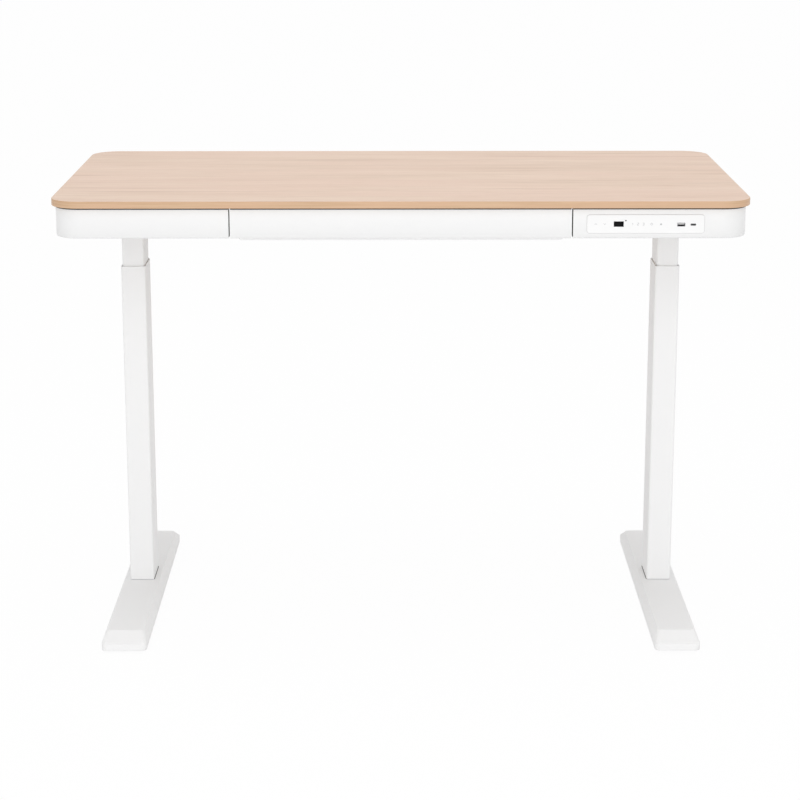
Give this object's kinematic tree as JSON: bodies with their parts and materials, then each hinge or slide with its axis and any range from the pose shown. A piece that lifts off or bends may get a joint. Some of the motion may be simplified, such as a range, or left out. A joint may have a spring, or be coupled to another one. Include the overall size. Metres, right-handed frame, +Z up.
{
  "type": "height adjustable standing desk",
  "caption": "Standing desk with a wooden top, white apron with drawer and touch control panel, and two telescoping legs that a geared shaft and lead screws raise together.",
  "frame": {"origin": "on the floor under the middle of the desktop", "axes": "+X to the right of a person at the desk, +Y to the rear, +Z up"},
  "size_m": [1.2, 0.614, 0.811],
  "materials": {
    "wood_top": "satin oak-look laminate",
    "edge_band": "satin edge band",
    "apron_paint": "gloss white",
    "leg_paint": "gloss white",
    "frame_paint": "satin white",
    "pad_plastic": "matt pale grey",
    "zinc_steel": "zinc plated",
    "glide_plastic": "matt off-white",
    "cast_case": "die cast",
    "drive_steel": "ground steel",
    "motor_paint": "satin black",
    "tray_paint": "satin white",
    "fascia_plastic": "gloss white",
    "display_glass": "gloss black",
    "socket_steel": "nickel plated",
    "circuit_board": "green solder mask",
    "housing_plastic": "matt pale grey",
    "inlet_plastic": "matt black"
  },
  "bodies": {
    "base": {"left_foot": "leg_paint", "right_foot": "leg_paint", "left_outer_tube": "leg_paint", "right_outer_tube": "leg_paint", "base_plates": "zinc_steel", "push_tubes": "zinc_steel", "drive_nuts": "glide_plastic", "upper_glides": "glide_plastic"},
    "drawer": {"drawer_front": "apron_paint", "drawer_tray": "tray_paint", "moving_slides": "zinc_steel"},
    "slide_cages": {"slide_cages": "zinc_steel"},
    "left_screw": {"left_lead_screw": "drive_steel", "left_screw_gear": "drive_steel"},
    "right_screw": {"right_lead_screw": "drive_steel", "right_screw_gear": "drive_steel"},
    "shaft": {"cross_shaft": "drive_steel", "shaft_gears": "drive_steel", "drive_sleeve": "drive_steel"},
    "left_front_leveller": {"left_front_leveller": "pad_plastic"},
    "left_rear_leveller": {"left_rear_leveller": "pad_plastic"},
    "right_front_leveller": {"right_front_leveller": "pad_plastic"},
    "right_rear_leveller": {"right_rear_leveller": "pad_plastic"},
    "top": {"column_bolts": "zinc_steel", "control_board": "circuit_board", "control_box": "housing_plastic", "control_box_lid": "housing_plastic", "control_fascia": "fascia_plastic", "control_housing": "housing_plastic", "desktop": "wood_top", "display_module": "display_glass", "edge_band": "edge_band", "fixed_slides": "zinc_steel", "front_cross_beam": "frame_paint", "gear_covers": "cast_case", "inlet_pins": "socket_steel", "left_drawer_bracket": "frame_paint", "left_front_apron": "apron_paint", "left_gear_case": "cast_case", "left_inner_tube": "leg_paint", "left_leg_channel": "frame_paint", "left_side_apron": "apron_paint", "lower_glides": "glide_plastic", "mains_inlet": "inlet_plastic", "motor_can": "motor_paint", "motor_gear_case": "cast_case", "rear_apron": "apron_paint", "rear_cross_beam": "frame_paint", "right_drawer_bracket": "frame_paint", "right_front_apron": "apron_paint", "right_gear_case": "cast_case", "right_inner_tube": "leg_paint", "right_leg_channel": "frame_paint", "right_side_apron": "apron_paint", "screw_bearings": "drive_steel", "usb_a_socket": "socket_steel", "usb_c_socket": "socket_steel"}
  },
  "joints": [
    {"name": "lift", "type": "slide", "parent": "base", "child": "top", "axis": [0, 0, 1], "range_m": [-0.091, 0.399]},
    {"name": "drawer_slide", "type": "slide", "parent": "top", "child": "drawer", "axis": [0, -1, 0], "range_m": [0, 0.165]},
    {"name": "cage_slide", "type": "slide", "parent": "top", "child": "slide_cages", "axis": [0, -1, 0], "range_m": [0, 0.0825]},
    {"name": "left_screw_turn", "type": "hinge", "parent": "top", "child": "left_screw", "pos_m": [-0.493, 0.025, 0.5], "axis": [0, 0, 1], "range_deg": [-3280, 14368]},
    {"name": "right_screw_turn", "type": "hinge", "parent": "top", "child": "right_screw", "pos_m": [0.493, 0.025, 0.5], "axis": [0, 0, 1], "range_deg": [-14368, 3280]},
    {"name": "shaft_turn", "type": "hinge", "parent": "top", "child": "shaft", "pos_m": [0, 0.025, 0.77692], "axis": [1, 0, 0], "range_deg": [-3280, 14368]},
    {"name": "left_front_leveller_screw", "type": "slide", "parent": "base", "child": "left_front_leveller", "axis": [0, 0, -1], "range_m": [0, 0.006]},
    {"name": "left_rear_leveller_screw", "type": "slide", "parent": "base", "child": "left_rear_leveller", "axis": [0, 0, -1], "range_m": [0, 0.006]},
    {"name": "right_front_leveller_screw", "type": "slide", "parent": "base", "child": "right_front_leveller", "axis": [0, 0, -1], "range_m": [0, 0.006]},
    {"name": "right_rear_leveller_screw", "type": "slide", "parent": "base", "child": "right_rear_leveller", "axis": [0, 0, -1], "range_m": [0, 0.006]}
  ],
  "couplings": [
    {"joint": "cage_slide", "follows": "drawer_slide", "ratio": 0.5},
    {"joint": "left_screw_turn", "follows": "lift", "rad_per_m": 628.32},
    {"joint": "right_screw_turn", "follows": "lift", "rad_per_m": -628.32},
    {"joint": "shaft_turn", "follows": "lift", "rad_per_m": 628.32}
  ]
}
